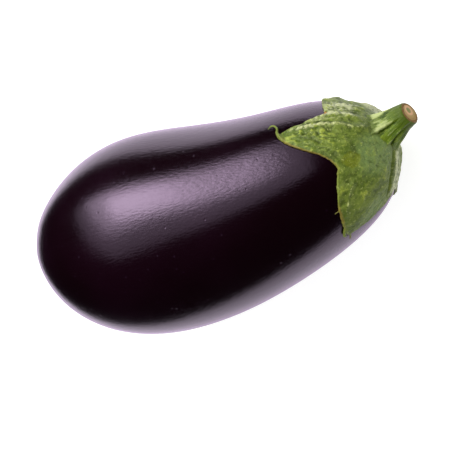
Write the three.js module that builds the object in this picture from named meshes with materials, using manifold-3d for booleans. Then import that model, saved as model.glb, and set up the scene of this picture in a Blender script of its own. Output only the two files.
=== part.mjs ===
// An eggplant lying on its side: the fruit, its six-lobed calyx and the cut stem.
// Millimetres, +Z up. The origin is the middle of the flat spot that the fruit rests on, +X runs along
// the fruit to its stem, and +Y is the inside of its bend.
import * as THREE from 'three';
import { mergeVertices } from 'three/addons/utils/BufferGeometryUtils.js';
import Module from 'manifold-3d';

const wasm = await Module();
wasm.setup();
const { degToRad, lerp, smoothstep } = THREE.MathUtils;

// Fruit
const fruitLength = 172;                     // along the bent middle line, end to end
const fruitRadius = 44;                      // at the thickest place
const girth = [0.953, -0.284, 0.194, 0.292]; // fullness along the fruit, in powers of cos(polar angle)
const bend = degToRad(39);                   // turn of the middle line from end to end
const droop = degToRad(8);                   // how far the stem end tips down at rest
const flatDepth = 0.6;                       // how much the flat spot takes off the round underside
const dimpleDepth = 2.2;                     // hollow around the blossom scar
const dimpleAngle = 0.1;                     // its width, in radians of polar angle
const fruitRows = 40;
const fruitSides = 48;

// Calyx: each lobe has the notch before it and its tip, as [degrees around the fruit from the inside of
// the bend, degrees of polar angle from the stem end]. Its rising side runs from that notch to the tip and
// its falling side from the next notch to the tip, each as [power, share of S-shaped rounding].
const gap = 0.35;
const hubThickness = 2.2;
const edgeThickness = 0.9;
const lobes = [
  { notch: [40, 30.4], tip: [52, 50.6], rise: [1.9, 0], fall: [1.25, 1] },
  { notch: [101, 35.6], tip: [155, 50.2], rise: [0.72, 0.4], fall: [1.05, 0] },
  { notch: [179, 28.5], tip: [226, 46], rise: [2, 0.3], fall: [1.4, 0.5] },
  { notch: [243, 31], tip: [262, 49], rise: [1.3, 0.5], fall: [1.5, 0.5] },
  { notch: [279, 29], tip: [291, 47], rise: [1.4, 0.5], fall: [1.3, 0.5] },
  { notch: [302, 30.5], tip: [322, 40], rise: [1.2, 0.5], fall: [1.4, 0] },
];
const stepsPerSide = 7;
const calyxRows = 11;
const curlPath = [[48.2, 55], [49.7, 53], [50.4, 48], [51.5, 44.5], [53, 44.4], [53.7, 46]]; // polar, around
const curlHeight = 1.2;
const curlRadius = 0.45;

// Stem
const stemLength = 16;                       // from the end of the fruit to the cut
const stemTurn = new THREE.Vector3(0.963, 0.258, 0.075); // direction that the cut faces
const footPolar = degToRad(2.5);             // middle of the foot, a little off the end of the fruit
const footAround = degToRad(115);
const footRadius = 7.4;                      // of the underside, which follows the calyx
// Up the stem: part of its length, radius.
const stemProfile = [[0.18, 7.9], [0.3, 7.3], [0.5, 6.5], [0.7, 5.8], [0.92, 5.1], [0.98, 4.7]];
const cutRadius = 4.2;
const ribCount = 5;
const ribDepth = 0.06;                       // part of the radius, at the foot of the stem
const stemSides = 40;

const bendRadius = fruitLength / bend;
const poleRadius = fruitRadius * girth.reduce((sum, part) => sum + part); // spread of the skin at its end
const sideways = new THREE.Vector3(0, 1, 0);

// Bends a point given as distance along the straight middle line (0 in the middle), distance from it and
// direction around it, and tips the stem end down.
function bent(along, radius, around) {
  const reach = bendRadius - radius * Math.cos(around);
  const angle = along / bendRadius;
  const point = new THREE.Vector3(
    reach * Math.sin(angle),
    bendRadius - reach * Math.cos(angle),
    radius * Math.sin(around),
  );
  return point.applyAxisAngle(sideways, droop);
}

// A point on the fruit's skin, or off it by height.
function skin(polar, around, height = 0) {
  const c = Math.cos(polar);
  const s = Math.sin(polar);
  const fullness = girth[0] + c * (girth[1] + c * (girth[2] + c * girth[3]));
  const fullnessSlope = girth[1] + c * (2 * girth[2] + c * 3 * girth[3]);
  const radiusSlope = fruitRadius * (c * fullness - s * s * fullnessSlope);
  const outward = new THREE.Vector2(radiusSlope, (fruitLength / 2) * s).setLength(height);
  const dimple = dimpleDepth * Math.exp(-(((Math.PI - polar) / dimpleAngle) ** 2));
  const along = (fruitLength / 2) * c + dimple + outward.x;
  return bent(along, fruitRadius * s * fullness + outward.y, around);
}

// The lowest point of the round underside, which the flat spot is centred on.
function lowestPoint() {
  const samples = 2000;
  let lowest = skin(Math.PI / 2, -Math.PI / 2);
  for (let i = 0; i <= samples; i++) {
    const point = skin((Math.PI * i) / samples, -Math.PI / 2);
    if (point.z < lowest.z) lowest = point;
  }
  return lowest;
}

const seat = lowestPoint();
seat.z += flatDepth;

// Turns a lathe profile into a closed body, with each vertex put where place says from its distance off
// the lathe's axis, its height along it and its turn around it (0 to 1).
function latheBody(profile, sides, place) {
  const geometry = new THREE.LatheGeometry(profile, sides);
  const position = geometry.attributes.position;
  for (let i = 0; i < position.count; i++) {
    const column = Math.floor(i / profile.length) % sides;
    const point = place(profile[i % profile.length], column / sides).sub(seat);
    position.setXYZ(i, point.x, point.y, point.z);
  }
  return toSolid(geometry);
}

function toSolid(geometry) {
  geometry.deleteAttribute('normal');
  geometry.deleteAttribute('uv');
  const welded = mergeVertices(geometry, 1e-4);
  const triVerts = new Uint32Array(welded.index.array);
  const vertProperties = new Float32Array(welded.attributes.position.array);
  return new wasm.Manifold(new wasm.Mesh({ numProp: 3, vertProperties, triVerts }));
}

function namedMesh(name, solid, look) {
  const { vertProperties, triVerts } = solid.getMesh();
  const geometry = new THREE.BufferGeometry();
  geometry.setAttribute('position', new THREE.BufferAttribute(vertProperties, 3));
  geometry.setIndex(new THREE.BufferAttribute(triVerts, 1));
  geometry.computeVertexNormals();
  const mesh = new THREE.Mesh(geometry, new THREE.MeshStandardMaterial(look));
  mesh.name = name;
  return mesh;
}

function makeFruit() {
  const profile = [];
  for (let i = 0; i <= fruitRows; i++) {
    const polar = Math.PI * (1 - i / fruitRows);
    profile.push(new THREE.Vector2(Math.sin(polar), Math.cos(polar)));
  }
  const round = latheBody(profile, fruitSides, (point, turn) => skin(Math.acos(point.y), 2 * Math.PI * turn));
  const below = new THREE.BoxGeometry(fruitLength, fruitLength, fruitRadius);
  below.translate(0, 0, -fruitRadius / 2);
  return round.subtract(toSolid(below));
}

// The calyx's edge at a turn from 0 to 1, as [around, polar] in radians. Each lobe takes an equal share of
// the turn, half of it up to the tip and half down to the next notch.
function calyxEdge(turn) {
  const step = turn * lobes.length * 2;
  const index = Math.floor(step / 2);
  const lobe = lobes[index];
  const rising = Math.floor(step) % 2 === 0;
  const [notchAround, notchPolar] = rising ? lobe.notch : lobes[(index + 1) % lobes.length].notch;
  const lap = !rising && index === lobes.length - 1 ? 360 : 0;
  const [power, rounding] = rising ? lobe.rise : lobe.fall;
  const towardsTip = rising ? step % 1 : 1 - (step % 1);
  const pointed = towardsTip ** power;
  const swell = lerp(pointed, smoothstep(pointed, 0, 1), rounding);
  const around = lerp(notchAround + lap, lobe.tip[0], towardsTip);
  return [degToRad(around), degToRad(lerp(notchPolar, lobe.tip[1], swell))];
}

function makeCalyx() {
  const profile = [];
  for (let i = 0; i <= calyxRows; i++) profile.push(new THREE.Vector2(i / calyxRows, 0));
  for (let i = calyxRows; i >= 0; i--) profile.push(new THREE.Vector2(i / calyxRows, 1));
  const place = (point, turn) => {
    const [around, edge] = calyxEdge(turn);
    const thickness = lerp(hubThickness, edgeThickness, point.x);
    return skin(edge * point.x, around, gap + thickness * point.y);
  };
  const cap = latheBody(profile, lobes.length * 2 * stepsPerSide, place);
  return cap.add(makeCurl());
}

// The dry thread-like point that curls up off the first lobe.
function makeCurl() {
  const points = curlPath.map(([polar, around]) =>
    skin(degToRad(polar), degToRad(around), curlHeight).sub(seat));
  const section = new THREE.Shape().absarc(0, 0, curlRadius, 0, 2 * Math.PI, false);
  const path = new THREE.CatmullRomCurve3(points);
  return toSolid(new THREE.ExtrudeGeometry(section, { steps: 14, extrudePath: path, curveSegments: 4 }));
}

function makeStem() {
  const foot = skin(footPolar, footAround);
  const start = skin(footPolar, footAround, 1).sub(foot);
  const middle = foot.clone().addScaledVector(start, stemLength / 2);
  const end = middle.clone().addScaledVector(stemTurn.clone().normalize(), stemLength / 2);
  const path = new THREE.QuadraticBezierCurve3(foot, middle, end);

  const profile = [0, footRadius / 2, footRadius].map((radius) => new THREE.Vector2(radius, 0));
  for (const [along, radius] of stemProfile) profile.push(new THREE.Vector2(radius, along));
  profile.push(new THREE.Vector2(cutRadius, 1), new THREE.Vector2(0, 1));
  const place = (point, turn) => {
    const around = 2 * Math.PI * turn;
    if (point.y === 0) return underside(point.x, around);
    const along = path.getTangent(point.y);
    const across = sideways.clone().addScaledVector(along, -along.dot(sideways)).normalize();
    const up = along.clone().cross(across);
    const radius = point.x * (1 + ribDepth * (1 - point.y) * Math.cos(ribCount * around));
    return path.getPoint(point.y)
      .addScaledVector(across, radius * Math.cos(around))
      .addScaledVector(up, radius * Math.sin(around));
  };
  return latheBody(profile, stemSides, place);
}

// A point on the stem's underside, which follows the calyx, at a distance and direction from its middle.
function underside(radius, around) {
  const inside = footPolar * Math.cos(footAround) + (radius / poleRadius) * Math.cos(around);
  const upwards = footPolar * Math.sin(footAround) + (radius / poleRadius) * Math.sin(around);
  return skin(Math.hypot(inside, upwards), Math.atan2(upwards, inside), gap + hubThickness + gap);
}

const eggplant = new THREE.Group();
eggplant.add(
  namedMesh('fruit', makeFruit(), { color: 0x1c0b1e, roughness: 0.22, metalness: 0 }),
  namedMesh('calyx', makeCalyx(), { color: 0x6a8842, roughness: 0.65, metalness: 0 }),
  namedMesh('stem', makeStem(), { color: 0x6f9636, roughness: 0.6, metalness: 0 }),
);

export default eggplant;
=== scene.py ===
# A glossy dark eggplant lying on a white table: fruit, lobed green calyx and cut stem.
from math import acos, atan2, ceil, cos, degrees, exp, hypot, pi, radians, sin, sqrt

import bmesh
import bpy
from mathutils import Matrix, Vector, noise


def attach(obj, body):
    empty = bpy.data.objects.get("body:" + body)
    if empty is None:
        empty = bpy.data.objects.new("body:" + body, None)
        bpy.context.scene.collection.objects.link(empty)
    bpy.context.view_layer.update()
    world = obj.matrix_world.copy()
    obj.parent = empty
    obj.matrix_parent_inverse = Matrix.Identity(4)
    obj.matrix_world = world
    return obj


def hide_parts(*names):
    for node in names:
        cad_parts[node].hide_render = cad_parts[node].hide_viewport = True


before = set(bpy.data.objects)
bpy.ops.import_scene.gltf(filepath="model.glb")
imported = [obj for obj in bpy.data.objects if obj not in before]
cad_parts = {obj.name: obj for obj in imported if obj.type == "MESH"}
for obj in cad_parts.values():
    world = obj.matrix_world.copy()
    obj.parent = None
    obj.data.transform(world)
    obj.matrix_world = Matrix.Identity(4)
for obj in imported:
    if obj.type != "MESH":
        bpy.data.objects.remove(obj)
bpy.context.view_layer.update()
scene = bpy.context.scene
mm = 0.001

fruitForm = {
    "length": 172 * mm,            # along the bent middle line
    "radius": 44 * mm,
    "girth": (0.953, -0.284, 0.194, 0.292),  # fullness, in powers of cos(polar angle)
    "bend": radians(39),           # turn of the middle line from end to end
    "droop": radians(8),           # how far the stem end tips down
    "flatDepth": 0.6 * mm,
    "dimpleDepth": 2.2 * mm,       # hollow around the blossom scar
    "dimpleAngle": 0.1,
    "waveDepth": 0.45 * mm,        # long soft unevenness
    "waveLength": 52 * mm,
    "waveSeed": (3.1, 0.4, 7.7),
    "facetDepth": 0.18 * mm,       # faint flats along the fruit
    "facetTwist": 0.8,             # how far they wind round it, in radians
    "facets": 7,
    "columns": 288,
    "rows": 200,
}


def bent(along, radius, around):
    # A point at a distance along the straight middle line and off it, bent and then drooped.
    bendRadius = fruitForm["length"] / fruitForm["bend"]
    reach = bendRadius - radius * cos(around)
    turn = along / bendRadius
    x, y, z = reach * sin(turn), bendRadius - reach * cos(turn), radius * sin(around)
    c, s = cos(fruitForm["droop"]), sin(fruitForm["droop"])
    return Vector((c * x + s * z, y, c * z - s * x))


def skin(polar, around, height=0.0):
    # The smooth skin at an angle from the stem end and round the fruit, or a height off it.
    c, s = cos(polar), sin(polar)
    g = fruitForm["girth"]
    fullness = g[0] + c * (g[1] + c * (g[2] + c * g[3]))
    slope = g[1] + c * (2 * g[2] + c * 3 * g[3])
    half = fruitForm["length"] / 2
    outward = Vector((fruitForm["radius"] * (c * fullness - s * s * slope), half * s)).normalized() * height
    dimple = fruitForm["dimpleDepth"] * exp(-(((pi - polar) / fruitForm["dimpleAngle"]) ** 2))
    return bent(half * c + dimple + outward.x, fruitForm["radius"] * s * fullness + outward.y, around)


undersideSteps = 2000
underside = (skin(pi * step / undersideSteps, -pi / 2) for step in range(undersideSteps + 1))
seat = min(underside, key=lambda point: point.z)
seat.z += fruitForm["flatDepth"]


def unevenness(point, polar, around):
    # Height of the soft waves and faint flats, which fade out towards both ends.
    form = fruitForm
    wave = noise.noise(point / form["waveLength"] + Vector(form["waveSeed"])) * form["waveDepth"]
    facet = cos(form["facets"] * around + form["facetTwist"] * sin(2 * polar)) * form["facetDepth"]
    return (wave + facet) * sin(polar)


def onSkin(polar, around, height=0.0):
    bump = unevenness(skin(polar, around), polar, around)
    return skin(polar, around, height + bump) - seat


view = {
    "tilt": radians(33),           # off the vertical, towards the stem
    "roll": radians(17.4),
    "distance": 0.9,
    "lens": 166.6,
    "shift": (0.0183, -0.0127),
}
middle = bent(0, 0, 0) - seat
towards = Vector((sin(view["tilt"]), 0, cos(view["tilt"])))
flatRight = Vector((cos(view["tilt"]), 0, -sin(view["tilt"])))
flatUp = Vector((0, 1, 0))
cameraRight = flatRight * cos(view["roll"]) - flatUp * sin(view["roll"])
cameraUp = flatRight * sin(view["roll"]) + flatUp * cos(view["roll"])

cameraData = bpy.data.cameras.new("camera")
cameraData.lens = view["lens"]
cameraData.shift_x, cameraData.shift_y = view["shift"]
camera = bpy.data.objects.new("camera", cameraData)
turned = Matrix((cameraRight, cameraUp, towards)).transposed().to_4x4()
camera.matrix_world = Matrix.Translation(middle + towards * view["distance"]) @ turned
scene.collection.objects.link(camera)
scene.camera = camera
scene.view_settings.view_transform = "Standard"

# Directions are in degrees: around from +X towards +Y, and above the table.
lamps = {
    "softboxHaze": {"around": 110, "above": 58, "distance": 0.78, "size": (0.96, 0.94), "power": 3.0},
    "softboxEdge": {"around": 113, "above": 48, "distance": 0.75, "size": (0.50, 0.56), "power": 2.8},
    "softboxCore": {"around": 107, "above": 49, "distance": 0.74, "size": (0.30, 0.34), "power": 2.4},
}
# These only brighten: the skin doesn't mirror them.
fills = {
    "stemSide": {"around": -4, "above": 20, "distance": 0.80, "size": (0.36, 0.30), "power": 1.8},
    "overheadFill": {"around": -80, "above": 72, "distance": 0.9, "size": (0.8, 0.8), "power": 3.0},
    "tableGlow": {"around": 85, "above": 70, "distance": 0.34, "size": (0.30, 0.12), "power": 1.0},
}


def addLamp(name, facts, glossy=True):
    data = bpy.data.lights.new(name, "AREA")
    data.shape = "RECTANGLE"
    data.size, data.size_y = facts["size"]
    data.energy = facts["power"]
    lamp = bpy.data.objects.new(name, data)
    around, above = radians(facts["around"]), radians(facts["above"])
    direction = Vector((cos(above) * cos(around), cos(above) * sin(around), sin(above)))
    lamp.location = middle + direction * facts["distance"]
    lamp.rotation_euler = direction.to_track_quat("Z", "Y").to_euler()
    lamp.visible_glossy = glossy
    scene.collection.objects.link(lamp)


for lampName, lampFacts in lamps.items():
    addLamp(lampName, lampFacts)
for lampName, lampFacts in fills.items():
    addLamp(lampName, lampFacts, glossy=False)

world = bpy.data.worlds.new("studio")
scene.world = world
world.use_nodes = True
sky = world.node_tree
darkRoom, paleWall = (0.012, 0.011, 0.013, 1), (1, 1, 1, 1)
sky.nodes["Background"].inputs["Color"].default_value = darkRoom
pale = sky.nodes.new("ShaderNodeBackground")
pale.inputs["Color"].default_value = paleWall
rayKind = sky.nodes.new("ShaderNodeLightPath")
either = sky.nodes.new("ShaderNodeMixShader")
sky.links.new(rayKind.outputs["Is Camera Ray"], either.inputs[0])
sky.links.new(sky.nodes["Background"].outputs[0], either.inputs[1])
sky.links.new(pale.outputs[0], either.inputs[2])
sky.links.new(either.outputs[0], sky.nodes["World Output"].inputs["Surface"])
print("camera and lights are set")


class Wire:
    # A socket's value, which takes part in sums by adding Math nodes.
    def __init__(self, look, socket):
        self.look = look
        self.socket = socket

    def sum(self, operation, *values):
        return self.look.add("ShaderNodeMath", {"operation": operation}, dict(enumerate(values)))

    def __add__(self, other):
        return self.sum("ADD", self, other)

    def __sub__(self, other):
        return self.sum("SUBTRACT", self, other)

    def __rsub__(self, other):
        return self.sum("SUBTRACT", other, self)

    def __mul__(self, other):
        return self.sum("MULTIPLY", self, other)

    def __truediv__(self, other):
        return self.sum("DIVIDE", self, other)

    __radd__ = __add__
    __rmul__ = __mul__


class Look:
    # One material, whose nodes are added one by one.
    def __init__(self, name):
        self.material = bpy.data.materials.new(name)
        self.material.use_nodes = True
        self.tree = self.material.node_tree
        self.tree.nodes.clear()

    def add(self, kind, settings=None, inputs=None, output=0):
        node = self.tree.nodes.new(kind)
        for name, value in (settings or {}).items():
            if name == "stops":
                setStops(node.color_ramp, value)
            else:
                setattr(node, name, value)
        for name, value in (inputs or {}).items():
            if isinstance(value, Wire):
                self.tree.links.new(value.socket, node.inputs[name])
            else:
                node.inputs[name].default_value = value
        return Wire(self, node.outputs[output]) if node.outputs else None

    def place(self, scale=(1, 1, 1), centre=(0, 0, 0)):
        spot = self.add("ShaderNodeTexCoord", output="Object")
        shift = tuple(-c * s for c, s in zip(centre, scale))
        return self.add("ShaderNodeMapping", None, {"Vector": spot, "Scale": scale, "Location": shift})

    def noise(self, place, size, detail=2.0, rough=0.5):
        return self.add("ShaderNodeTexNoise", None, {
            "Vector": place, "Scale": 1 / size, "Detail": detail, "Roughness": rough})

    def mask(self, value, low, high):
        return self.add("ShaderNodeMapRange", {"interpolation_type": "SMOOTHSTEP"}, {
            "Value": value, "From Min": low, "From Max": high, "To Min": 0.0, "To Max": 1.0})

    def mix(self, factor, first, second):
        return self.add("ShaderNodeMix", {"data_type": "RGBA"}, {0: factor, 6: first, 7: second}, 2)

    def layered(self, colour, coats):
        for cover, paintCoat in coats:
            colour = self.mix(cover, colour, paintCoat)
        return colour

    def layer(self, name):
        return self.add("ShaderNodeAttribute", {"attribute_name": name}, None, "Fac")

    def bump(self, height, distance):
        return self.add("ShaderNodeBump", None, {"Height": height, "Distance": distance, "Strength": 1.0})

    def finish(self, inputs):
        shader = self.add("ShaderNodeBsdfPrincipled", None, inputs)
        self.add("ShaderNodeOutputMaterial", None, {"Surface": shader})
        return self.material


def setStops(ramp, stops):
    while len(ramp.elements) > 1:
        ramp.elements.remove(ramp.elements[-1])
    for index, (position, colour) in enumerate(stops):
        element = ramp.elements[0] if index == 0 else ramp.elements.new(position)
        element.position = position
        element.color = colour


def paint(red, green, blue):
    # A colour as a screen shows it, 0 to 255, in the linear values that the nodes take.
    return tuple((c / 255 / 12.92) if c < 10.3 else ((c / 255 + 0.055) / 1.055) ** 2.4
                 for c in (red, green, blue)) + (1.0,)


def finishPiece(name, bm, looks, node):
    mesh = bpy.data.meshes.new(name)
    bm.to_mesh(mesh)
    bm.free()
    mesh.shade_smooth()
    for look in looks:
        mesh.materials.append(look)
    piece = bpy.data.objects.new(name, mesh)
    scene.collection.objects.link(piece)
    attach(piece, "root")
    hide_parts(node)
    print(f"{name}: {len(mesh.polygons)} faces")
    return piece


tableForm = {
    "panelRadius": 0.30,           # the part of the table that the skin mirrors
    "radius": 4.0,
    "centre": (0.09, 0.0, 0.0),
    "sides": 96,
    "grey": (0.45, 0.45, 0.45, 1),
    "glow": 0.84,
}


def makeTable():
    # A lit white panel under the fruit, and the pale table around it.
    look = Look("whiteTable")
    white = look.finish({
        "Base Color": tableForm["grey"], "Roughness": 0.6, "Specular IOR Level": 0.1,
        "Emission Color": (1, 1, 1, 1), "Emission Strength": tableForm["glow"]})
    panelRadius, sides = tableForm["panelRadius"], tableForm["sides"]
    panel = bmesh.new()
    bmesh.ops.create_circle(panel, segments=sides, radius=panelRadius, cap_ends=True)
    stageFloor("panel", panel, white, mirrored=True)
    table = bmesh.new()
    bmesh.ops.create_circle(table, segments=sides, radius=panelRadius)
    extruded = bmesh.ops.extrude_edge_only(table, edges=table.edges[:])["geom"]
    outerVerts = [part for part in extruded if isinstance(part, bmesh.types.BMVert)]
    bmesh.ops.scale(table, vec=(tableForm["radius"] / panelRadius,) * 3, verts=outerVerts)
    stageFloor("table", table, white, mirrored=False)


def stageFloor(name, bm, look, mirrored):
    bmesh.ops.translate(bm, vec=tableForm["centre"], verts=bm.verts)
    bmesh.ops.recalc_face_normals(bm, faces=bm.faces)
    mesh = bpy.data.meshes.new(name)
    bm.to_mesh(mesh)
    bm.free()
    mesh.materials.append(look)
    ground = bpy.data.objects.new(name, mesh)
    ground.visible_glossy = mirrored
    scene.collection.objects.link(ground)


fruitFinish = {
    "deepPlum": paint(8, 1, 3),
    "plum": paint(13, 2, 7),
    "pit": paint(60, 40, 62),
    "scarHalo": paint(66, 36, 34),
    "scarCrack": paint(78, 56, 40),
    "scarCork": paint(136, 110, 78),
    "roughness": 0.20,
    "scarRoughness": 0.4,          # on top of the skin's
    "streakSize": 0.8 * mm,        # fine grain that runs along the fruit
    "streakStretch": 0.22,
    "peelSize": 4.0 * mm,
    "bloomSize": 40 * mm,
    "pitSpacing": 5.5 * mm,
    "pitReach": (0.03, 0.10),      # parts of that spacing where a pit starts and stops to fade
    "scarRadius": 2.2 * mm,
    "scarFade": 1.0 * mm,
    "scarWander": 6 * mm,          # how ragged the scar's outline is
    "scarEdgeSize": 2.4 * mm,
    "crackSize": 0.9 * mm,
    "haloFade": (0.4 * mm, 4.3 * mm),  # past the scar's radius
    "reliefDepth": 0.085 * mm,
}


def makeSkinLook():
    finish = fruitFinish
    look = Look("waxySkin")
    place = look.place()
    lengthwise = look.place(scale=(finish["streakStretch"], 1, 1))
    bloom = look.noise(place, finish["bloomSize"], 2)
    streaks = look.noise(lengthwise, finish["streakSize"], 3, 0.6)
    peel = look.noise(place, finish["peelSize"], 3, 0.55)
    pitSpots = look.add("ShaderNodeTexVoronoi", None, {"Vector": place, "Scale": 1 / finish["pitSpacing"]},
                        "Distance")
    pits = 1 - look.mask(pitSpots, *finish["pitReach"])
    fromScar = look.add("ShaderNodeVectorMath", {"operation": "LENGTH"}, {
        0: look.place(centre=tuple(onSkin(pi, 0)))}, "Value")
    cracks = look.noise(place, finish["crackSize"], 3, 0.7)
    scarEdge = fromScar + (look.noise(place, finish["scarEdgeSize"], 3, 0.6) - 0.5) * finish["scarWander"]
    scar = 1 - look.mask(scarEdge, finish["scarRadius"], finish["scarRadius"] + finish["scarFade"])
    halo = 1 - look.mask(scarEdge, *(finish["scarRadius"] + past for past in finish["haloFade"]))

    body = look.mix(look.mask(bloom, 0.35, 0.7), finish["deepPlum"], finish["plum"])
    speckled = look.mix(pits * 0.12, body, finish["pit"])
    haloed = look.mix(halo * 0.4, speckled, finish["scarHalo"])
    cork = look.mix(look.mask(cracks, 0.42, 0.6), finish["scarCrack"], finish["scarCork"])
    relief = peel * 0.35 + streaks * 0.9 - pits * 0.9 + scar * cracks * 9
    roughness = finish["roughness"] + (streaks - 0.5) * 0.10 + (bloom - 0.5) * 0.08
    return look.finish({
        "Base Color": look.mix(scar, haloed, cork),
        "Roughness": roughness + scar * finish["scarRoughness"],
        "Specular IOR Level": 0.5,
        "Specular Tint": (0.97, 0.76, 1.0, 1),
        "Coat Weight": 0.7,
        "Coat IOR": 1.02,
        "Coat Roughness": 0.3,
        "Coat Tint": (0.97, 0.90, 1.0, 1),
        "Normal": look.bump(relief, finish["reliefDepth"]),
    })


def makeFruit():
    bm = bmesh.new()
    bmesh.ops.create_uvsphere(bm, u_segments=fruitForm["columns"], v_segments=fruitForm["rows"], radius=1)
    for vert in bm.verts:
        polar = acos(max(-1, min(1, vert.co.z)))  # the sphere's pole becomes the stem end
        vert.co = onSkin(polar, atan2(vert.co.y, vert.co.x))
        vert.co.z = max(vert.co.z, 0)
    bmesh.ops.recalc_face_normals(bm, faces=bm.faces)
    return finishPiece("fruitSkin", bm, [makeSkinLook()], "fruit")


def smooth(value, low=0.0, high=1.0):
    # 0 below low, 1 above high, and an S-shaped rise between them.
    t = max(0.0, min(1.0, (value - low) / (high - low)))
    return t * t * (3 - 2 * t)


def blendValue(low, high, share):
    return low + (high - low) * share


def angleGap(a, b):
    # How far a is past b in degrees, the short way round.
    return (a - b + 180) % 360 - 180


# Each lobe has the notch before it and its tip, as (degrees around the fruit from the inside of its bend,
# degrees from the stem end), the (power, share of rounding) of its two sides, and the tip's lift.
calyxForm = {
    "lobes": (
        {"notch": (40, 30.4), "tip": (52, 51.3), "rise": (1.9, 0), "fall": (1.25, 1), "lift": 0.5 * mm},
        {"notch": (101, 35.6), "tip": (155, 50.2), "rise": (0.72, 0.4), "fall": (1.05, 0), "lift": 0.3 * mm},
        {"notch": (179, 28.5), "tip": (226, 46), "rise": (2, 0.3), "fall": (1.4, 0.5), "lift": 0.6 * mm},
        {"notch": (243, 31), "tip": (262, 49), "rise": (1.3, 0.5), "fall": (1.5, 0.5), "lift": 0.1 * mm},
        {"notch": (279, 29), "tip": (291, 47), "rise": (1.4, 0.5), "fall": (1.3, 0.5), "lift": 0.9 * mm},
        {"notch": (302, 30.5), "tip": (322, 40), "rise": (1.2, 0.5), "fall": (1.4, 0), "lift": 0.1 * mm},
    ),
    # Folds follow a path of (degrees from the stem end, degrees around); width and height in mm, and how
    # pale the crest is painted, partly as wax and partly as painted sheen.
    "folds": (
        {"path": ((15, 73), (20, 69), (27, 60), (33, 56), (43, 53)), "width": 1.5, "height": 1.2,
         "wax": 0.75},
        {"path": ((17, 51), (21, 45), (28, 43), (34, 46)), "width": 1.7, "height": 1.1, "wax": 0.8},
        {"path": ((24, 86), (32, 72), (38, 66), (44, 59)), "width": 1.3, "height": 0.45, "wax": 0.25},
        {"path": ((11, 112), (22, 100), (33, 84), (42, 68)), "width": 2.6, "height": 0.3, "wax": 0.1},
        {"path": ((10, 135), (30, 141), (42, 147), (49, 153)), "width": 3.5, "height": 0.45, "wax": 0.2},
        {"path": ((12, 122), (26, 121), (36, 121)), "width": 1.8, "height": 0.3, "wax": 0.15},
        {"path": ((34, 119), (38, 124), (44, 135)), "width": 0.9, "height": 0.3, "wax": 0.85},
        {"path": ((8, 150), (16, 154), (24, 159), (30, 166)), "width": 0.8, "height": -0.8, "wax": 0.0},
        {"path": ((9, 163), (17, 166), (25, 171), (30, 177)), "width": 2.2, "height": 0.4, "wax": 0.8},
        {"path": ((9, 222), (19, 214), (23, 208), (31, 199)), "width": 4.0, "height": -0.95, "wax": 0.5},
        {"path": ((10, 224), (25, 234), (40, 238)), "width": 2.4, "height": 0.7, "wax": 0.6},
        {"path": ((10, 238), (25, 250), (44, 262)), "width": 2.6, "height": 0.6, "wax": 0.4},
        {"path": ((10, 270), (25, 284), (42, 297)), "width": 2.4, "height": 0.9, "wax": 0.6},
        {"path": ((8, 296), (11, 303), (13.5, 320), (17.5, 332)), "width": 2.8, "height": 2.1, "wax": 0.8},
        {"path": ((9, 324), (15, 336), (22, 342)), "width": 4.5, "height": 0.15, "wax": 0.9},
        {"path": ((21, 343), (23, 344.4), (25, 347)), "width": 1.6, "height": -0.6, "wax": 0.0},
        {"path": ((26, 347.5), (28, 349), (29.5, 351)), "width": 2.8, "height": 1.1, "wax": 0.5},
        {"path": ((15, 14), (20, 20), (27, 25)), "width": 1.6, "height": 0.8, "wax": 0.7},
    ),
    # Dry threads past the lobes' tips: (degrees from the stem end, degrees around, mm off the skin, radius).
    "threads": {
        "curl": ((48.0, 61.0, 0.7, 0.9), (49.3, 58.0, 1.0, 0.95), (50.3, 54.6, 1.4, 0.85),
                 (50.9, 51.2, 1.8, 0.62), (50.5, 48.6, 2.1, 0.5), (50.9, 45.8, 2.3, 0.42),
                 (51.8, 43.8, 2.2, 0.36), (53.0, 43.2, 1.9, 0.34), (54.1, 44.3, 1.4, 0.28)),
        "bluntNub": ((48.4, 146.5, 0.7, 0.7), (49.8, 149.6, 0.9, 0.62), (50.9, 152.6, 1.0, 0.55),
                     (50.4, 154.6, 0.8, 0.35)),
        "longNub": ((48.2, 152.0, 0.7, 0.6), (49.6, 156.6, 0.9, 0.45), (50.3, 159.4, 1.0, 0.4),
                    (51.2, 162.0, 0.9, 0.25)),
        "spike": ((45.0, 131.5, 0.7, 0.3), (46.0, 129.8, 0.8, 0.22), (47.2, 129.6, 0.9, 0.12)),
    },
    # Colour spots: (degrees around, degrees from the stem end, size in degrees, strength).
    "spots": {
        "blue": ((118, 18, 11, 1.0), (158, 38, 10, 0.7)),
        "yellow": ((100, 29, 5, 1.0),),
        "dark": ((89, 33.5, 3.5, 1.0), (152, 48, 5, 0.6), (66, 37, 12, 0.62)),
    },
    "drySpot": (40, 30.6, 1.6),    # on the edge at the first notch
    # White bloom, partly wax and partly painted sheen: (degrees around, its width, strength, degrees from the
    # stem end where it starts).
    "bloom": ((30, 26, 0.85, 12), (320, 34, 1.0, -8), (182, 17, 1.1, -8)),
    # The edge's raggedness: (waves round the edge, depth in degrees, seed).
    "ragged": ((12, 0.35, 0), (45, 0.32, 2), (110, 0.16, 5)),
    "crisp": ((62, 37, 10, 1.0), (30, 25, 8, 0.7)),  # spots where the puckers are crisp
    "underFold": 0.7,              # how much of a fold the underside follows
    # Shares of the way out from the stem: where the cap thins, where a lobe lifts, where folds die out.
    "thinning": (0.1, 0.9),
    "lifting": (0.6, 1.0),
    "foldEnd": 1.02,
    "foldFade": 0.12,
    "seat": 0.12 * mm,             # between skin and calyx
    "hubThickness": 2.2 * mm,
    "edgeThickness": 0.85 * mm,
    "collarHeight": 0.6 * mm,      # where the calyx sweeps up to the stem
    "collarRadius": 8.2 * mm,
    "collarWidth": 2.0 * mm,
    "columnsPerSide": 46,
    "topRows": 112,
    "rimRows": 7,
    "underRows": 10,
}


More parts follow.
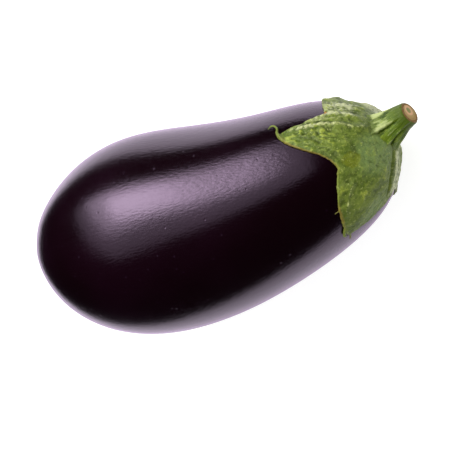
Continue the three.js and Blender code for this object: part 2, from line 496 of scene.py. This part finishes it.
def calyxEdge(turn):
    # Degrees around and from the stem end, and lift, at a turn from 0 to 1 along the edge.
    lobes = calyxForm["lobes"]
    step = (turn % 1.0) * len(lobes) * 2
    index = int(step // 2)
    lobe = lobes[index]
    rising = int(step) % 2 == 0
    notchAround, notchPolar = lobe["notch"] if rising else lobes[(index + 1) % len(lobes)]["notch"]
    lap = 360 if not rising and index == len(lobes) - 1 else 0
    power, rounding = lobe["rise"] if rising else lobe["fall"]
    towardsTip = step % 1 if rising else 1 - step % 1
    pointed = towardsTip ** power
    swell = blendValue(pointed, smooth(pointed), rounding)
    around = blendValue(notchAround + lap, lobe["tip"][0], towardsTip)
    polar = blendValue(notchPolar, lobe["tip"][1], swell)
    circle = Vector((cos(2 * pi * turn), sin(2 * pi * turn), 0))
    ragged = sum(noise.noise(circle * waves + Vector((0, 0, seed))) * depth
                 for waves, depth, seed in calyxForm["ragged"])
    return around, polar + ragged, lobe["lift"] * swell


def pathAround(path, polar):
    # Degrees around at which a fold's path crosses a polar angle, and how much of the fold is there.
    for (lowPolar, lowAround), (highPolar, highAround) in zip(path, path[1:]):
        if polar <= highPolar:
            break
    share = (polar - lowPolar) / (highPolar - lowPolar)
    around = lowAround + angleGap(highAround, lowAround) * max(-0.3, min(1.3, share))
    first, last = path[0][0], path[-1][0]
    fade = smooth(polar, first - 5, first + 3) * (1 - smooth(polar, last - 3, last + 5))
    return around, fade


def foldHeights(around, polar):
    # Height of the folds here, and how pale their crests are painted, partly as wax and partly as painted
    # sheen.
    height, crest = 0.0, 0.0
    for fold in calyxForm["folds"]:
        centre, fade = pathAround(fold["path"], polar)
        if fade > 0:
            across = radians(angleGap(around, centre)) * sin(radians(polar)) * fruitForm["radius"] / mm
            offset = across / fold["width"]
            height += fold["height"] * mm * fade * exp(-offset * offset)
            crest = max(crest, fold["wax"] * fade * exp(-5 * offset * offset))
    return height, crest


def spotMask(around, polar, spotAround, spotPolar, size):
    # 1 in the middle of a spot on the calyx, 0 well outside it; size in degrees from the stem end.
    spot = Vector((cos(radians(around)), sin(radians(around)))) * polar
    centre = Vector((cos(radians(spotAround)), sin(radians(spotAround)))) * spotPolar
    return exp(-((spot - centre).length / size) ** 2)


def wrinkles(around, polar, out):
    # Puckers in mm, with sizes in degrees: soft all over, short and crisp on the first lobe.
    spot = Vector((cos(radians(around)), sin(radians(around)), 0)) * polar
    wide, broad, short, fine = 5.5, 2.4, 1.8, 0.95
    frontMiddle, frontReach, backStart = 150, 70, 110
    soft = noise.noise(spot / wide) * 0.36 + noise.noise(spot / broad + Vector((5, 3, 1))) * 0.2
    crinkle = noise.noise(spot / short + Vector((1, 8, 2))) * 0.6 + noise.noise(spot / fine) * 0.3
    crisp = sum(strength * spotMask(around, polar, *spotFacts) for *spotFacts, strength in calyxForm["crisp"])
    back = smooth(abs(angleGap(around, frontMiddle)), frontReach, backStart)
    return (soft * (0.8 + 0.5 * back) + crinkle * (0.3 + 1.3 * crisp)) * smooth(out, 0.12, 0.4)


calyxFinish = {
    "green": paint(66, 82, 16),
    "olive": paint(90, 104, 36),
    "blue": paint(98, 118, 66),
    "yellow": paint(84, 92, 0),
    "shade": paint(52, 62, 18),
    # Mottled tone, painted lighter on the raised bumps as painted highlight and darker in their hollows as
    # painted shade.
    "mottleHighlight": paint(106, 118, 46),
    "mottleShade": paint(50, 64, 10),
    "vein": paint(118, 128, 66),
    # Painted highlight on the raised puckers, then painted shade in their hollows.
    "ridgeHighlight": paint(134, 144, 52),
    "furrowShade": paint(42, 54, 4),
    # Whitish wax on the fold crests and in the bloom, partly the calyx's own and partly painted sheen.
    "crestWaxAndSheen": paint(160, 164, 104),
    "bloomWaxAndSheen": paint(176, 178, 146),
    "dot": paint(150, 156, 92),
    "grainLight": paint(128, 138, 74),
    "grainDark": paint(44, 56, 14),
    "rimGreen": paint(108, 116, 46),
    "rimBrown": paint(118, 92, 40),
    "dry": paint(150, 112, 52),
    "patchSize": 7 * mm,
    "cloudSize": 19 * mm,
    "mottleSize": 1.7 * mm,
    "grainSize": 0.7 * mm,
    "dotSize": 0.9 * mm,
    "veinsAround": 75,
    "veinStretch": 0.2,
    "roughness": 0.52,
    "reliefDepth": 0.3 * mm,
}


def makeCalyxLook():
    finish = calyxFinish
    look = Look("calyxGreen")
    place = look.place()
    fibres = look.add("ShaderNodeUVMap", {"uv_map": "fibres"})
    stretched = look.add("ShaderNodeMapping", None, {
        "Vector": fibres, "Scale": (1, finish["veinStretch"], 1)})
    patches = look.noise(place, finish["patchSize"], 4, 0.6)
    cloud = look.noise(place, finish["cloudSize"], 2)
    mottle = look.noise(place, finish["mottleSize"], 3, 0.65)
    grain = look.noise(place, finish["grainSize"], 3, 0.6)
    veins = look.noise(stretched, 1 / finish["veinsAround"], 4, 0.62)
    dots = look.noise(place, finish["dotSize"], 1, 0.5)
    edge, crest, wax, pucker = (look.layer(name) for name in ("edge", "crest", "wax", "pucker"))
    blue, yellow, dark, tan = (look.layer(name) for name in ("blue", "yellow", "dark", "tan"))

    # Pale wax on the fold crests, the bloom and the raised mottle: partly the calyx's own, partly painted
    # sheen.
    paleWaxAndSheen = crest * (mottle * 1.6 - 0.42) + wax * (veins * 1.3 + mottle * 0.7 - 0.72) + (mottle - 0.5) * 0.2
    pale = look.mask(paleWaxAndSheen, 0.12, 0.44)
    waxAndSheenPaint = look.mix(wax, finish["crestWaxAndSheen"], finish["bloomWaxAndSheen"])
    rim = look.mask(edge + (mottle - 0.5) * 0.02, 0.972, 0.992)
    rimPaint = look.mix(look.mask(cloud, 0.45, 0.6), finish["rimGreen"], finish["rimBrown"])
    coats = (
        (look.mask(blue + (cloud - 0.5) * 0.5, 0.25, 0.8) * 0.75, finish["blue"]),
        (look.mask(yellow + (patches - 0.5) * 1.6, 0.4, 0.62) * 0.85, finish["yellow"]),
        (look.mask(dark + (mottle - 0.5) * 0.8, 0.4, 0.9) * 0.7, finish["shade"]),
        # The mottle follows the bump: painted highlight where it is raised, painted shade where it is low.
        (look.mask(mottle, 0.5, 0.64) * 0.5, finish["mottleHighlight"]),
        ((1 - look.mask(mottle, 0.36, 0.47)) * 0.4, finish["mottleShade"]),
        (look.mask(veins, 0.52, 0.7) * 0.3, finish["vein"]),
        # Raised puckers are painted lighter as painted highlight, and their hollows darker as painted shade.
        (look.mask(pucker + (grain - 0.5) * 0.3, 0.08, 0.36) * 0.65, finish["ridgeHighlight"]),
        ((1 - look.mask(pucker + (grain - 0.5) * 0.2, -0.3, -0.04)) * 0.75, finish["furrowShade"]),
        (pale * 0.8, waxAndSheenPaint),
        (look.mask(dots, 0.64, 0.74) * 0.5, finish["dot"]),
        (look.mask(grain, 0.55, 0.75) * 0.35, finish["grainLight"]),
        ((1 - look.mask(grain, 0.28, 0.44)) * 0.45, finish["grainDark"]),
        (rim * 0.55, rimPaint),
        (look.mask(tan + (grain - 0.5) * 0.5, 0.3, 0.8), finish["dry"]),
    )
    colour = look.mix(look.mask(patches, 0.38, 0.62), finish["green"], finish["olive"])
    return look.finish({
        "Base Color": look.layered(colour, coats),
        "Roughness": finish["roughness"] + (grain - 0.5) * 0.2 - pale * 0.06,
        "Specular IOR Level": 0.3,
        "Normal": look.bump(grain * 0.6 + veins * 0.5 + mottle * 1.6, finish["reliefDepth"]),
    })


def makeCalyx():
    form = calyxForm
    columns = form["columnsPerSide"] * 2 * len(form["lobes"])
    rows = form["underRows"] + form["rimRows"] + form["topRows"]
    bm = bmesh.new()
    bmesh.ops.create_grid(bm, x_segments=columns, y_segments=rows, size=0.5)
    uvLayer = bm.loops.layers.uv.new("fibres")
    layers = {name: bm.verts.layers.float.new(name) for name in
              ("edge", "crest", "wax", "pucker", "blue", "yellow", "dark", "tan")}
    footSpot = onSkin(stemForm["footPolar"], stemForm["footAround"])
    spots = {}
    for vert in bm.verts:
        row = round((vert.co.y + 0.5) * rows)
        around, edgePolar, lift = calyxEdge(vert.co.x + 0.5)
        out, top = sectionSpot(row)
        polar = edgePolar * out
        fold, crest = foldHeights(around, polar)
        pucker = wrinkles(around, polar, out)
        thickness = blendValue(form["hubThickness"], form["edgeThickness"], smooth(out, *form["thinning"]))
        fromFoot = (onSkin(radians(polar), radians(around)) - footSpot).length - form["collarRadius"]
        collar = form["collarHeight"] * exp(-max(0, fromFoot) / form["collarWidth"])
        underFold = form["underFold"]
        foldShare = smooth(form["foldEnd"] - out, 0, form["foldFade"])
        height = form["seat"] + lift * smooth(out, *form["lifting"]) + fold * underFold * foldShare
        height += top * (thickness + fold * (1 - underFold) + collar + pucker * mm)
        vert.co = onSkin(radians(polar), radians(around), height)
        spots[vert] = (around / 360, polar / 360)
        vert[layers["edge"]] = out
        vert[layers["crest"]] = crest
        vert[layers["pucker"]] = pucker
        paintCalyxSpots(vert, layers, around, polar, out)
    for face in bm.faces:
        for loop in face.loops:
            loop[uvLayer].uv = spots[loop.vert]
    bmesh.ops.remove_doubles(bm, verts=bm.verts, dist=0.002 * mm)
    for path in form["threads"].values():
        addThread(bm, path, layers)
    bmesh.ops.recalc_face_normals(bm, faces=bm.faces)
    return finishPiece("calyxCap", bm, [makeCalyxLook()], "calyx")


def sectionSpot(row):
    # How far out from the stem a row is (1 at the edge), and how much of the thickness it stands up.
    underRows, rimRows, topRows = (calyxForm[name] for name in ("underRows", "rimRows", "topRows"))
    rounding = 0.012
    if row <= underRows:
        return row / underRows, 0.0
    if row <= underRows + rimRows:
        arc = pi / 2 * (row - underRows) / rimRows
        return 1 - (1 - cos(arc)) * rounding, sin(arc)
    return (1 - rounding) * (1 - (row - underRows - rimRows) / topRows), 1.0


def paintCalyxSpots(vert, layers, around, polar, out):
    for name, spots in calyxForm["spots"].items():
        vert[layers[name]] = max(strength * spotMask(around, polar, *spotFacts)
                                 for *spotFacts, strength in spots)
    vert[layers["wax"]] = max(
        strength * exp(-(angleGap(around, centre) / width) ** 2) * smooth(polar, start, start + 8)
        for centre, width, strength, start in calyxForm["bloom"])
    vert[layers["tan"]] = spotMask(around, polar, *calyxForm["drySpot"]) if out > 0.9 else 0.0


def addThread(bm, path, layers):
    # A tapered tube along a smooth path, closed at both ends.
    rings, sides = 28, 10
    startPolar, startAround = radians(path[0][0]), radians(path[0][1])
    outward = onSkin(startPolar, startAround, mm) - onSkin(startPolar, startAround)
    grid = bmesh.ops.create_grid(bm, x_segments=sides, y_segments=rings, size=0.5)["verts"]
    for vert in grid:
        turn, share = 2 * pi * (vert.co.x + 0.5), vert.co.y + 0.5
        centre, radius = threadSpot(path, share)
        ahead = (threadSpot(path, share + 0.01)[0] - threadSpot(path, share - 0.01)[0]).normalized()
        side = ahead.cross(outward).normalized()
        up = side.cross(ahead)
        radius *= min(1.0, 3 * sqrt(max(0.0, min(share, 1 - share))))  # both ends close to a point
        vert.co = centre + (side * cos(turn) + up * sin(turn)) * radius
        vert[layers["edge"]] = 0.985
    bmesh.ops.remove_doubles(bm, verts=grid, dist=0.004 * mm)


def threadSpot(path, share):
    # The middle and radius of a thread at a share of its path.
    spot = max(0.0, min(0.9999, share)) * (len(path) - 1)
    index, t = int(spot), spot % 1
    near = [path[max(0, min(len(path) - 1, index + offset))] for offset in (-1, 0, 1, 2)]
    polar, around, height, radius = (catmullRom(*values, t) for values in zip(*near))
    return onSkin(radians(polar), radians(around), height * mm), radius * mm


def catmullRom(before, start, end, after, t):
    square = 2 * before - 5 * start + 4 * end - after
    cube = 3 * start - before - 3 * end + after
    return 0.5 * (2 * start + (end - before) * t + square * t * t + cube * t ** 3)


stemForm = {
    "length": 16 * mm,
    "turn": (0.963, 0.258, 0.075),  # direction that the cut faces
    "footPolar": radians(2.5),      # middle of the foot, a little off the end of the fruit
    "footAround": radians(115),
    # Up the stem: part of its length, radius.
    "profile": ((0.04, 9.4 * mm), (0.1, 8.9 * mm), (0.18, 8.2 * mm), (0.3, 7.4 * mm), (0.5, 6.5 * mm),
                (0.7, 5.8 * mm), (0.92, 5.1 * mm)),
    "cutRadius": 4.1 * mm,
    "cutRounding": 0.06,            # part of the length that the cut's edge is rounded over
    "pithOffset": (1.1 * mm, -0.1 * mm),
    # Grooves along the stem: degrees around, half width in degrees, depth in mm, part of the length where
    # they end.
    "grooves": ((97, 5, 0.6, 0.9), (146, 5, 0.45, 0.9), (40, 7, 0.3, 0.8), (-12, 8, 0.4, 0.75),
                (196, 7, 0.45, 0.8), (248, 6, 0.5, 0.85), (300, 8, 0.4, 0.7)),
    "crestHeight": 0.35,            # mm, beside each groove
    "knobs": ((1.4, 2.2, 0.05), (5, 1.2, 0.03)),  # waves round and along the stem, part of its radius
    "cutGrain": 1.3 * mm,
    "cutUnevenness": 0.12 * mm,
    # The side of the stem that the light falls on is painted paler: painted highlight.
    "litSideAround": radians(40),
    "litSideFade": (0.35, 0.8),        # parts of the length between which the painted highlight on the lit side fades out
    "sides": 192,
}

stemFinish = {
    "green": paint(64, 84, 6),
    "paleGreen": paint(88, 106, 18),
    # Painted shade in the grooves, then a pale colour that is partly the stem's own streaks and partly
    # painted highlight.
    "furrowShade": paint(30, 48, 0),
    "fibre": paint(124, 140, 56),
    "wax": paint(166, 174, 118),
    "dot": paint(132, 144, 54),
    "deepGreen": paint(58, 74, 4),
    "footDark": paint(74, 88, 34),
    "footLight": paint(98, 110, 60),
    "bark": paint(104, 70, 24),
    "streaksAround": 16,
    "fibresAround": 45,
    "streakStretch": 0.09,
    "grainSize": 0.5 * mm,
    "dotSize": 0.7 * mm,
    "patchSize": 5 * mm,
    "roughness": 0.48,
    "reliefDepth": 0.45 * mm,
}


def makeStemLook():
    finish = stemFinish
    look = Look("stalkGreen")
    place = look.place()
    fibres = look.add("ShaderNodeUVMap", {"uv_map": "fibres"})
    stretched = look.add("ShaderNodeMapping", None, {
        "Vector": fibres, "Scale": (1, finish["streakStretch"], 1)})
    streaks = look.noise(stretched, 1 / finish["streaksAround"], 4, 0.65)
    fineStreaks = look.noise(stretched, 1 / finish["fibresAround"], 3, 0.6)
    grain = look.noise(place, finish["grainSize"], 2)
    dots = look.noise(place, finish["dotSize"], 1)
    patches = look.noise(place, finish["patchSize"], 2)
    groove, crest, along, litSideSheen = (look.layer(name) for name in ("groove", "crest", "along", "litSideSheen"))

    # Pale streaks: partly the stem's own, partly painted highlight on the raised streaks, on the crests
    # beside the grooves and on the lit side.
    pale = look.mask(streaks + crest * 0.16 + litSideSheen * 0.2 - groove * 0.3, 0.6, 0.79)
    foot = 1 - look.mask(along + (patches - 0.5) * 0.08 + (streaks - 0.5) * 0.16, 0.10, 0.19)
    footPaint = look.mix(look.mask(grain, 0.4, 0.65), finish["footDark"], finish["footLight"])
    coats = (
        # Painted shade in the grooves and in the low parts of the streaks.
        ((1 - look.mask(streaks - groove * 0.3, 0.36, 0.5)) * 0.85, finish["furrowShade"]),
        (look.mask(fineStreaks, 0.54, 0.68) * 0.4, finish["fibre"]),
        (pale * 0.8, finish["wax"]),
        (look.mask(dots, 0.62, 0.72) * 0.6, finish["dot"]),
        (look.mask(along, 0.55, 0.85) * 0.85, finish["deepGreen"]),
        (foot, footPaint),
        (look.mask(along + (grain - 0.5) * 0.01, 0.984, 0.994) * 0.85, finish["bark"]),
    )
    colour = look.mix(look.mask(patches, 0.4, 0.65), finish["green"], finish["paleGreen"])
    return look.finish({
        "Base Color": look.layered(colour, coats),
        "Roughness": finish["roughness"] + (grain - 0.5) * 0.2 + foot * 0.1,
        "Specular IOR Level": 0.25,
        "Normal": look.bump(streaks * 1.6 + fineStreaks * 0.8 + grain * 0.3, finish["reliefDepth"]),
    })


cutFinish = {
    # Outwards from the middle of the pith: part of its reach, colour.
    "rings": ((0.00, paint(122, 124, 72)), (0.30, paint(126, 126, 78)), (0.38, paint(196, 154, 118)),
              (0.56, paint(190, 150, 112)), (0.64, paint(156, 132, 86)), (0.82, paint(150, 126, 76)),
              (1.00, paint(140, 114, 66))),
    "pithReach": 4.0,              # mm
    "bark": paint(104, 70, 26),
    "grain": paint(92, 70, 36),
    "grainSize": 0.3 * mm,
    "wobbleSize": 1.7 * mm,
    "wobble": 0.5,                 # mm, how far the rings wander
    "reliefDepth": 0.25 * mm,
}


def makeCutLook():
    finish = cutFinish
    look = Look("corkyCut")
    place = look.place()
    grain = look.noise(place, finish["grainSize"], 3, 0.6)
    wobble = (look.noise(place, finish["wobbleSize"], 2) - 0.5) * finish["wobble"]
    pith = (look.layer("pith") + wobble) / finish["pithReach"]
    rim = look.layer("rim") + wobble / finish["pithReach"]
    heart = look.add("ShaderNodeValToRGB", {"stops": finish["rings"]}, {"Fac": pith})
    coats = (
        (look.mask(rim, 0.86, 0.95), finish["bark"]),
        (look.mask(grain, 0.52, 0.75) * 0.4, finish["grain"]),
    )
    return look.finish({
        "Base Color": look.layered(heart, coats),
        "Roughness": 0.8,
        "Specular IOR Level": 0.25,
        "Normal": look.bump(grain, finish["reliefDepth"]),
    })


cutShare = 0.9999  # past this part of the stem's length, a point is on the cut


def makeStem():
    form = stemForm
    cutRadius = form["cutRadius"]
    foot = onSkin(form["footPolar"], form["footAround"])
    start = (onSkin(form["footPolar"], form["footAround"], mm) - foot).normalized()
    bendPoint = foot + start * form["length"] / 2
    end = bendPoint + Vector(form["turn"]).normalized() * form["length"] / 2
    bm = bmesh.new()
    chain = [bm.verts.new((radius, 0, share)) for radius, share in stemOutline()]
    edges = [bm.edges.new(pair) for pair in zip(chain, chain[1:])]
    bmesh.ops.spin(bm, geom=chain + edges, cent=(0, 0, 0), axis=(0, 0, 1), angle=2 * pi,
                   steps=form["sides"], use_merge=True)
    bmesh.ops.remove_doubles(bm, verts=bm.verts, dist=0.001 * mm)
    markStemFaces(bm)
    layers = {name: bm.verts.layers.float.new(name) for name in
              ("groove", "crest", "along", "litSideSheen", "pith", "rim")}
    pithCentre = Vector(form["pithOffset"])
    for vert in bm.verts:
        radius, share = hypot(vert.co.x, vert.co.y), vert.co.z
        around = atan2(vert.co.y, vert.co.x)
        direction = Vector((cos(around), sin(around), 0))
        groove, crest = grooveAt(around, share)
        knobs = sum(noise.noise(direction * aroundWaves + Vector((0, 0, share * alongWaves))) * height
                    for aroundWaves, alongWaves, height in form["knobs"])
        relief = knobs + (form["crestHeight"] * crest - groove) * mm / cutRadius
        spread = 1 + relief * min(1.0, radius / cutRadius)
        vert[layers["groove"]] = groove
        vert[layers["crest"]] = crest
        vert[layers["along"]] = share
        # Painted highlight: paler on the stem's lit side, fading out up the stem.
        litSideLeft = 1 - smooth(share, *form["litSideFade"])
        vert[layers["litSideSheen"]] = max(0.0, cos(around - form["litSideAround"])) * litSideLeft
        vert[layers["pith"]] = (direction.xy * radius - pithCentre).length / mm
        vert[layers["rim"]] = radius / cutRadius
        ahead = ((bendPoint - foot) * (1 - share) + (end - bendPoint) * share).normalized()
        across = (Vector((0, 1, 0)) - ahead * ahead.y).normalized()
        up = ahead.cross(across)
        centre = foot * (1 - share) ** 2 + bendPoint * 2 * share * (1 - share) + end * share ** 2
        vert.co = centre + (across * cos(around) + up * sin(around)) * radius * spread
        if share > cutShare:
            vert.co += ahead * noise.noise(vert.co / form["cutGrain"]) * form["cutUnevenness"]
    bmesh.ops.recalc_face_normals(bm, faces=bm.faces)
    return finishPiece("stalk", bm, [makeStemLook(), makeCutLook()], "stem")


def markStemFaces(bm):
    # While the stem is still straight: its fibres' UVs, and the second material on the cut.
    uvLayer = bm.loops.layers.uv.new("fibres")
    for face in bm.faces:
        for loop in face.loops:
            turn = (atan2(loop.vert.co.y, loop.vert.co.x) / (2 * pi)) % 1.0
            loop[uvLayer].uv = (turn, loop.vert.co.z)
        face.material_index = 1 if all(vert.co.z > cutShare for vert in face.verts) else 0


def grooveAt(around, share):
    # Depth of the grooves in mm, and how near the crest beside one is, from 0 to 1.
    fadeLength, crestOffset = 0.35, 2.1
    depth, crest = 0.0, 0.0
    for centre, width, deep, stop in stemForm["grooves"]:
        reach = 1 - smooth(share, stop - fadeLength, stop)
        offset = angleGap(degrees(around), centre) / width
        depth += deep * reach * exp(-offset * offset)
        crest = max(crest, reach * exp(-(offset + crestOffset) ** 2))
    return depth, crest


def stemOutline():
    # (radius, part of the length) from the middle of the foot to the middle of the cut.
    form = stemForm
    points = [(0.0, form["profile"][0][0])] + [(radius, share) for share, radius in form["profile"]]
    shoulder = form["profile"][-1][1] - form["cutRadius"]
    roundingSteps, cutSteps, step = 6, 14, 0.4 * mm
    for i in range(1, roundingSteps + 1):
        arc = pi / 2 * i / roundingSteps
        share = 1 - form["cutRounding"] * (1 - sin(arc))
        points.append((form["cutRadius"] + shoulder * cos(arc), share))
    points += [(form["cutRadius"] * (1 - i / cutSteps), 1.0) for i in range(1, cutSteps + 1)]
    close = [points[0]]
    for (r0, s0), (r1, s1) in zip(points, points[1:]):
        count = max(1, ceil(hypot(r1 - r0, (s1 - s0) * form["length"]) / step))
        close += [(blendValue(r0, r1, i / count), blendValue(s0, s1, i / count)) for i in range(1, count + 1)]
    return close


makeTable()
makeFruit()
makeCalyx()
makeStem()

print("all pieces are made")
